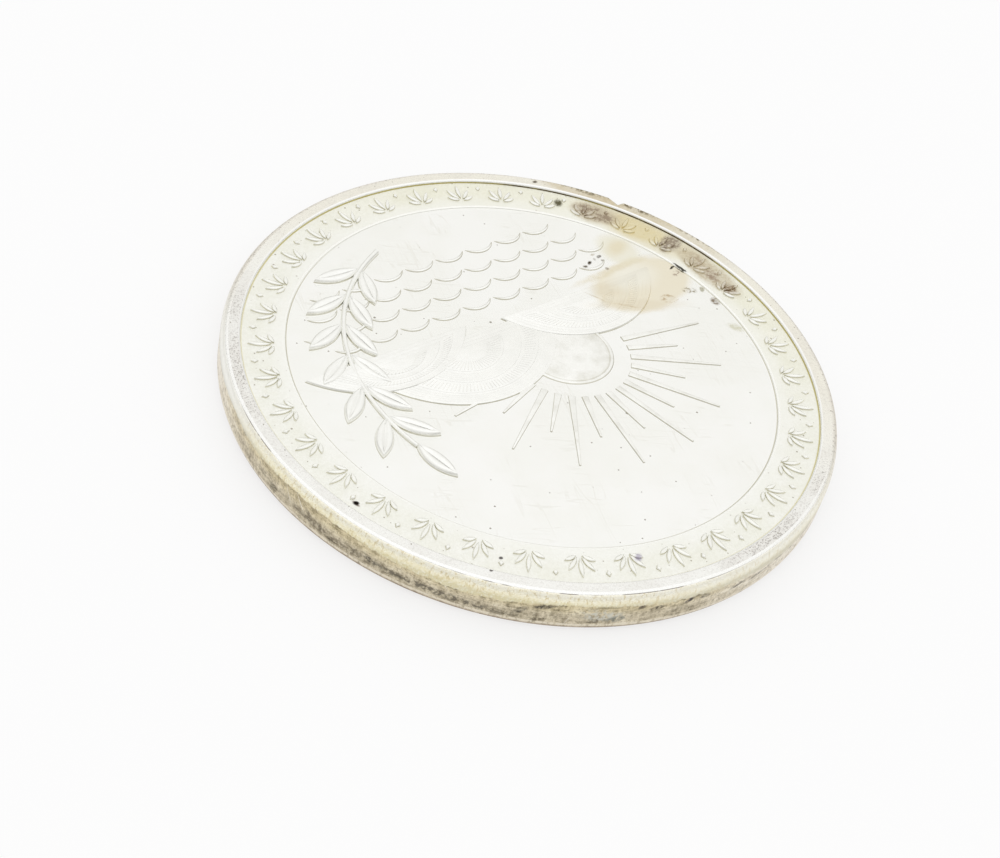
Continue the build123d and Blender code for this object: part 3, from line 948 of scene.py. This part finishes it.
# sun
# A low silver disc with a fine ring near its edge. It is cut shallow in the die, so it stands
# lower than the hills that cover its foot.
SUN_PLACE = (-0.16 * FIELD_RADIUS, 0.0)
SUN_RADIUS = 0.2 * FIELD_RADIUS
SUN_HEIGHT = 0.22 * FIELD_DEPTH
SUN_RINGS = (
    (ROOT, 1, 1),
    (SUN_HEIGHT * 0.8, 0.985, 0.985),
    (SUN_HEIGHT * 0.2, 0.975, 0.975),
    (0, 0.93, 0.93),
    (-0.02, 0.922, 0.922),
    (0, 0.9, 0.9),
    (0.012, 0.89, 0.89),
    (0.008, 0.5, 0.5),
)
sun = start_piece(
    "sun", bpy.ops.mesh.primitive_circle_add, vertices=128, radius=SUN_RADIUS * MM, fill_type="NGON"
)
raise_face(SUN_RINGS)
finish_piece()
sun.data.transform(moved(*SUN_PLACE, FIELD_TOP - ROOT))
relief_silver = new_relief("relief_silver", FIELD_TOP, field_marks, (254, 254, 251), (176, 170, 140))
sun.data.materials.append(relief_silver)
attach(sun, "root")

# rays
# Long and short silver rays in turn fan out above the sun, as high as it is and narrower towards
# their tips. One of each kind is drawn and carried round the sun.
RAY_START = 0.27 * FIELD_RADIUS
RAY_ENDS = (0.66 * FIELD_RADIUS, 0.5 * FIELD_RADIUS)
RAY_START_WIDTH = 0.032 * FIELD_RADIUS
RAY_END_WIDTH = 0.0116 * FIELD_RADIUS
RAY_SLOPE = 0.044
RAY_PITCH = 11.5
RAY_COUNT = 15
fans = []
for kind, ray_end in enumerate(RAY_ENDS):
    ray = start_piece("ray", bpy.ops.mesh.primitive_cube_add, size=MM)
    size = Vector((ray_end - RAY_START, RAY_START_WIDTH, ROOT + SUN_HEIGHT))
    bpy.ops.transform.resize(value=size, center_override=(0, 0, 0))
    bpy.ops.transform.translate(value=Vector((RAY_START + size.x / 2, 0, size.z / 2)) * MM)
    shape = bmesh.from_edit_mesh(ray.data)
    for corner in shape.verts:
        at_tip = corner.co.x > (RAY_START + ray_end) / 2 * MM
        on_top = corner.co.z > SUN_HEIGHT / 2 * MM
        half_width = (RAY_END_WIDTH if at_tip else RAY_START_WIDTH) / 2 - (RAY_SLOPE if on_top else 0)
        corner.co.y = math.copysign(half_width * MM, corner.co.y)
        corner.co.x += (RAY_SLOPE if on_top else 0) * (-1 if at_tip else 1) * MM
    bmesh.update_edit_mesh(ray.data)
    finish_piece(rounding=0.02)
    first_angle = 90 - RAY_PITCH * (RAY_COUNT - 1) / 2
    places = [
        moved(*SUN_PLACE, FIELD_TOP - ROOT) @ turned(first_angle + RAY_PITCH * number)
        for number in range(kind, RAY_COUNT, 2)
    ]
    fans.append(stamp(ray, places, f"rays_{kind}"))
rays = join_pieces(fans, "rays")
rays.data.materials.append(relief_silver)
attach(rays, "root")

# hills
# Three rounded silver hills behind the shore, each stepped up in four terraces that narrow
# upwards, as the die's engraver cut them one below the other.
SHORE = -0.3
HILLS = (
    # crest across the field, foot above the shore, chord, rise, height of the lowest terrace
    (0.22, 0.05, 0.94, 0.37, 0.26),
    (-0.44, 0.025, 0.82, 0.26, 0.44),
    (0.52, 0.0, 0.78, 0.21, 0.52),
)
TERRACES = 4
TERRACE_SHRINK = 0.2
TERRACE_LIP = 0.018
TERRACE_STEP = 0.08
TERRACE_LEAN = 22  # of its side, in degrees
TERRACE_RUN = 0.3  # length of one straight run of a terrace's curve


def terrace_arc(hill, level):
    """Left foot, crest and right foot of a hill's outline at a level, in millimetres. Levels may be parts."""
    crest, foot, chord, rise, _ = (value * FIELD_RADIUS for value in hill)
    share = 1 - level * TERRACE_SHRINK
    foot_y = SHORE * FIELD_RADIUS + foot + level * TERRACE_LIP * FIELD_RADIUS
    reach = chord / 2 * share
    return (crest - reach, foot_y), (crest, foot_y + rise * share), (crest + reach, foot_y)


steps_of_hills = []
for hill in HILLS:
    for level in range(TERRACES):
        left, top, right = terrace_arc(hill, level)
        centre, sweep = circle_through(right, top, left)
        steps = round(abs(sweep) * math.dist(centre[:2], top) / TERRACE_RUN)
        terrace = draw_outline("terrace", right, (top, left, steps), (None, right, 1))
        height = (hill[4] + level * TERRACE_STEP) * FIELD_DEPTH
        bpy.ops.mesh.extrude_region_move(TRANSFORM_OT_translate={"value": (0, 0, ROOT * MM)})
        slope = height * math.tan(math.radians(TERRACE_LEAN))
        bpy.ops.mesh.inset(thickness=slope * MM, depth=height * MM)
        finish_piece(rounding=0.012)
        terrace.data.transform(moved(0, 0, FIELD_TOP - ROOT))
        steps_of_hills.append(terrace)
hills = join_pieces(steps_of_hills, "hills")
hills.data.materials.append(relief_silver)
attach(hills, "root")

# furrows
# Fine raised lines in the hills' silver, as an engraver shades land: curved furrows follow some
# terraces, and short straight rows run up the others. Each row is a copy of one.
FURROW_GAP = 0.25
FURROW_WIDTH = 0.085
FURROW_HEIGHT = 0.02
ROW_LENGTH = 1.0
ROW_TOP = (0.96, 0.45, 1)  # length and width as shares of its foot's


def sweep_bar(name, line, width, height, steps, swell, sides=10):
    """Makes a bar with a rounded back along the arc through three places.
    swell gives its thickness at each share of the way, as a share of its full thickness."""
    centre, sweep = circle_through(*line)
    centre = centre * MM
    here = Vector((*line[0], 0)) * MM
    heading = math.atan2(here.y - centre.y, here.x - centre.x) + math.copysign(math.pi / 2, sweep)
    turned_up = (math.pi / 2, 0, heading - math.pi / 2)
    bar = start_piece(
        name, bpy.ops.mesh.primitive_circle_add,
        vertices=sides, radius=MM, fill_type="NGON", rotation=turned_up,
    )
    pick("VERT", lambda corner: corner.co.z < 0)
    bpy.ops.transform.resize(value=(1, 1, ROOT / height), center_override=(0, 0, 0))
    bpy.ops.mesh.select_all(action="SELECT")
    first = swell(0.0)
    half_width = width / 2 * first
    bpy.ops.transform.resize(value=(half_width, half_width, height * first), center_override=(0, 0, 0))
    bpy.ops.transform.translate(value=here)
    last = first
    for step in range(1, steps + 1):
        size = swell(step / steps)
        turn = sweep / steps
        bpy.ops.mesh.extrude_region_move(TRANSFORM_OT_translate={"value": (0, 0, 0)})
        bpy.ops.transform.rotate(value=-turn, orient_axis="Z", center_override=centre)
        here = centre + Matrix.Rotation(turn, 3, "Z") @ (here - centre)
        bpy.ops.transform.resize(value=(size / last,) * 3, center_override=here)
        last = size
    finish_piece(smooth_angle=60)
    return bar


def furrow_swell(share):
    """Furrows are of one thickness but for their ends."""
    return min(1, 0.1 + 8 * share, 8.1 - 8 * share)


furrows = []
for hill in HILLS:
    for level in (0, 2):
        ground = FIELD_TOP + (hill[4] + level * TERRACE_STEP) * FIELD_DEPTH
        band = TERRACE_SHRINK * hill[3] * FIELD_RADIUS
        count = round(band / FURROW_GAP) - 1
        for number in range(count):
            line = terrace_arc(hill, level + (number + 1.3) / (count + 1.3))
            furrow = sweep_bar("furrow", line, FURROW_WIDTH, FURROW_HEIGHT, 40, furrow_swell, sides=6)
            furrow.data.transform(moved(0, 0, ground))
            furrows.append(furrow)
row = start_piece("row", bpy.ops.mesh.primitive_cube_add, size=MM)
bpy.ops.transform.translate(value=(MM / 2, 0, 0))
bpy.ops.transform.resize(value=(ROW_LENGTH, FURROW_WIDTH, 2 * FURROW_HEIGHT), center_override=(0, 0, 0))
pick("FACE", lambda face: face.normal.z > 0.5)
bpy.ops.transform.resize(value=ROW_TOP, center_override=(ROW_LENGTH * MM / 2, 0, 0))
finish_piece(smooth_angle=30)
places = []
for hill in HILLS:
    for level in (1, 3):
        ground = FIELD_TOP + (hill[4] + level * TERRACE_STEP) * FIELD_DEPTH
        outer, inner = terrace_arc(hill, level + 0.2), terrace_arc(hill, level + (0.85 if level < 3 else 1.0))
        outer_centre, outer_sweep = circle_through(*outer)
        inner_centre, inner_sweep = circle_through(*inner)
        arcs = ((outer, outer_centre, outer_sweep), (inner, inner_centre, inner_sweep))
        count = round(abs(outer_sweep) * math.dist(outer_centre[:2], outer[0]) / FURROW_GAP)
        for number in range(1, count):
            share = number / count
            foot, head = (
                centre + Matrix.Rotation(sweep * share, 3, "Z") @ (Vector((*arc[0], 0)) - centre)
                for arc, centre, sweep in arcs
            )
            along = head - foot
            places.append(
                moved(*foot[:2], ground)
                @ turned(math.degrees(math.atan2(along.y, along.x)))
                @ Matrix.Diagonal((along.length / ROW_LENGTH, 1, 1, 1))
            )
rows = stamp(row, places, "rows")
furrows = join_pieces([*furrows, rows], "furrows")
furrows.data.materials.append(relief_silver)
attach(furrows, "root")

# waves
# Rows of low silver crescents below the shore, each row half a crescent aside from the last.
# One crescent is a bar turned along an arc, its ends drawn out to points, and the rest are copies.
WAVE_ROWS = 4
WAVE_GAP = 0.1
WAVE_LENGTH = 0.145 * FIELD_RADIUS
WAVE_RISE = 0.035 * FIELD_RADIUS
WAVE_WIDTH = 0.0154 * FIELD_RADIUS
WAVE_SPACE = 0.013 * FIELD_RADIUS
WAVE_HEIGHT = 0.3 * FIELD_DEPTH
WAVE_MARGIN = 0.07
half = WAVE_LENGTH / 2
crescent = sweep_bar(
    "crescent", ((half, 0), (0, WAVE_RISE), (-half, 0)), WAVE_WIDTH, WAVE_HEIGHT, 14,
    swell=lambda share: 0.12 + 0.88 * math.sin(math.pi * share) ** 0.7,
)
pitch = WAVE_LENGTH + WAVE_SPACE
places = []
for row in range(WAVE_ROWS):
    level = SHORE - (row + 1) * WAVE_GAP
    half_row = (math.sqrt(1 - level**2) - WAVE_MARGIN) * FIELD_RADIUS
    reach = math.floor(half_row / pitch)
    for number in range(-reach, reach + 1):
        x = (number + 0.5 * (row % 2)) * pitch
        if abs(x) + half <= half_row:
            places.append(moved(x, level * FIELD_RADIUS, FIELD_TOP))
waves = stamp(crescent, places, "waves")
waves.data.materials.append(relief_silver)
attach(waves, "root")

# stem
# The sprig's silver stem curves up the field beside the hills and thins towards its tip. It is a
# bar turned along an arc.
STEM_SHARES = ((0.2, -0.84), (0.62, -0.46), (0.72, 0.18))  # of the field's radius: root, middle and tip
STEM_LINE = [(x * FIELD_RADIUS, y * FIELD_RADIUS) for x, y in STEM_SHARES]
STEM_WIDTH = 0.022 * FIELD_RADIUS
STEM_HEIGHT = 0.84 * FIELD_DEPTH
stem = sweep_bar("stem", STEM_LINE, STEM_WIDTH, STEM_HEIGHT, 72, swell=lambda share: 1.12 - 0.3 * share)
stem.data.transform(moved(0, 0, FIELD_TOP))
stem.data.materials.append(relief_silver)
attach(stem, "root")

# leaves
# Silver leaves stand in pairs along the stem with one at its tip, the highest relief on the medal.
# Each swells to two cushions with a sunk vein between them. One is drawn and copied.
LEAF_STALK = 0.008 * FIELD_RADIUS
LEAF_LENGTH = 0.212 * FIELD_RADIUS
LEAF_WIDTH = 0.074 * FIELD_RADIUS
LEAF_HEIGHT = 0.93 * FIELD_DEPTH
LEAF_RINGS = (
    (ROOT, 1, 1),
    (0.14, 0.975, 0.92),
    (0.08, 0.95, 0.82),
    (LEAF_HEIGHT - 0.24, 0.92, 0.68),
    (0.02, 0.88, 0.46),
    (-0.02, 0.86, 0.2),
    (-0.06, 0.8, 0.07),
)
LEAF_PAIRS = 6
LEAF_TURN = 38
FIRST_LEAF = 0.12
stem_centre, stem_sweep = circle_through(*STEM_LINE)
stem_radius = math.dist(stem_centre[:2], STEM_LINE[0])
stem_angle = math.atan2(STEM_LINE[0][1] - stem_centre.y, STEM_LINE[0][0] - stem_centre.x)


def on_stem(share):
    """A place at a share of the stem's length, and the stem's heading there in degrees."""
    angle = stem_angle + stem_sweep * share
    place = (stem_centre.x + stem_radius * math.cos(angle), stem_centre.y + stem_radius * math.sin(angle))
    return place, math.degrees(angle + math.copysign(math.pi / 2, stem_sweep))


half = LEAF_LENGTH / 2
leaf = draw_outline(
    "leaf", (0, 0), ((half, -LEAF_WIDTH / 2), (LEAF_LENGTH, 0), 12), ((half, LEAF_WIDTH / 2), (0, 0), 12)
)
raise_face(LEAF_RINGS, middle=(half * MM, 0, 0))
finish_piece(smooth_angle=60)
places = []
for number in range(LEAF_PAIRS + 1):
    root, heading = on_stem(FIRST_LEAF + (1 - FIRST_LEAF) * number / LEAF_PAIRS)
    at_tip = number == LEAF_PAIRS
    for turn in (0,) if at_tip else (LEAF_TURN, -LEAF_TURN):
        stalk = -LEAF_STALK if at_tip else LEAF_STALK
        places.append(moved(*root, FIELD_TOP - ROOT) @ turned(heading + turn) @ moved(stalk, 0))
leaves = stamp(leaf, places, "leaves")
leaves.data.materials.append(relief_silver)
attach(leaves, "root")
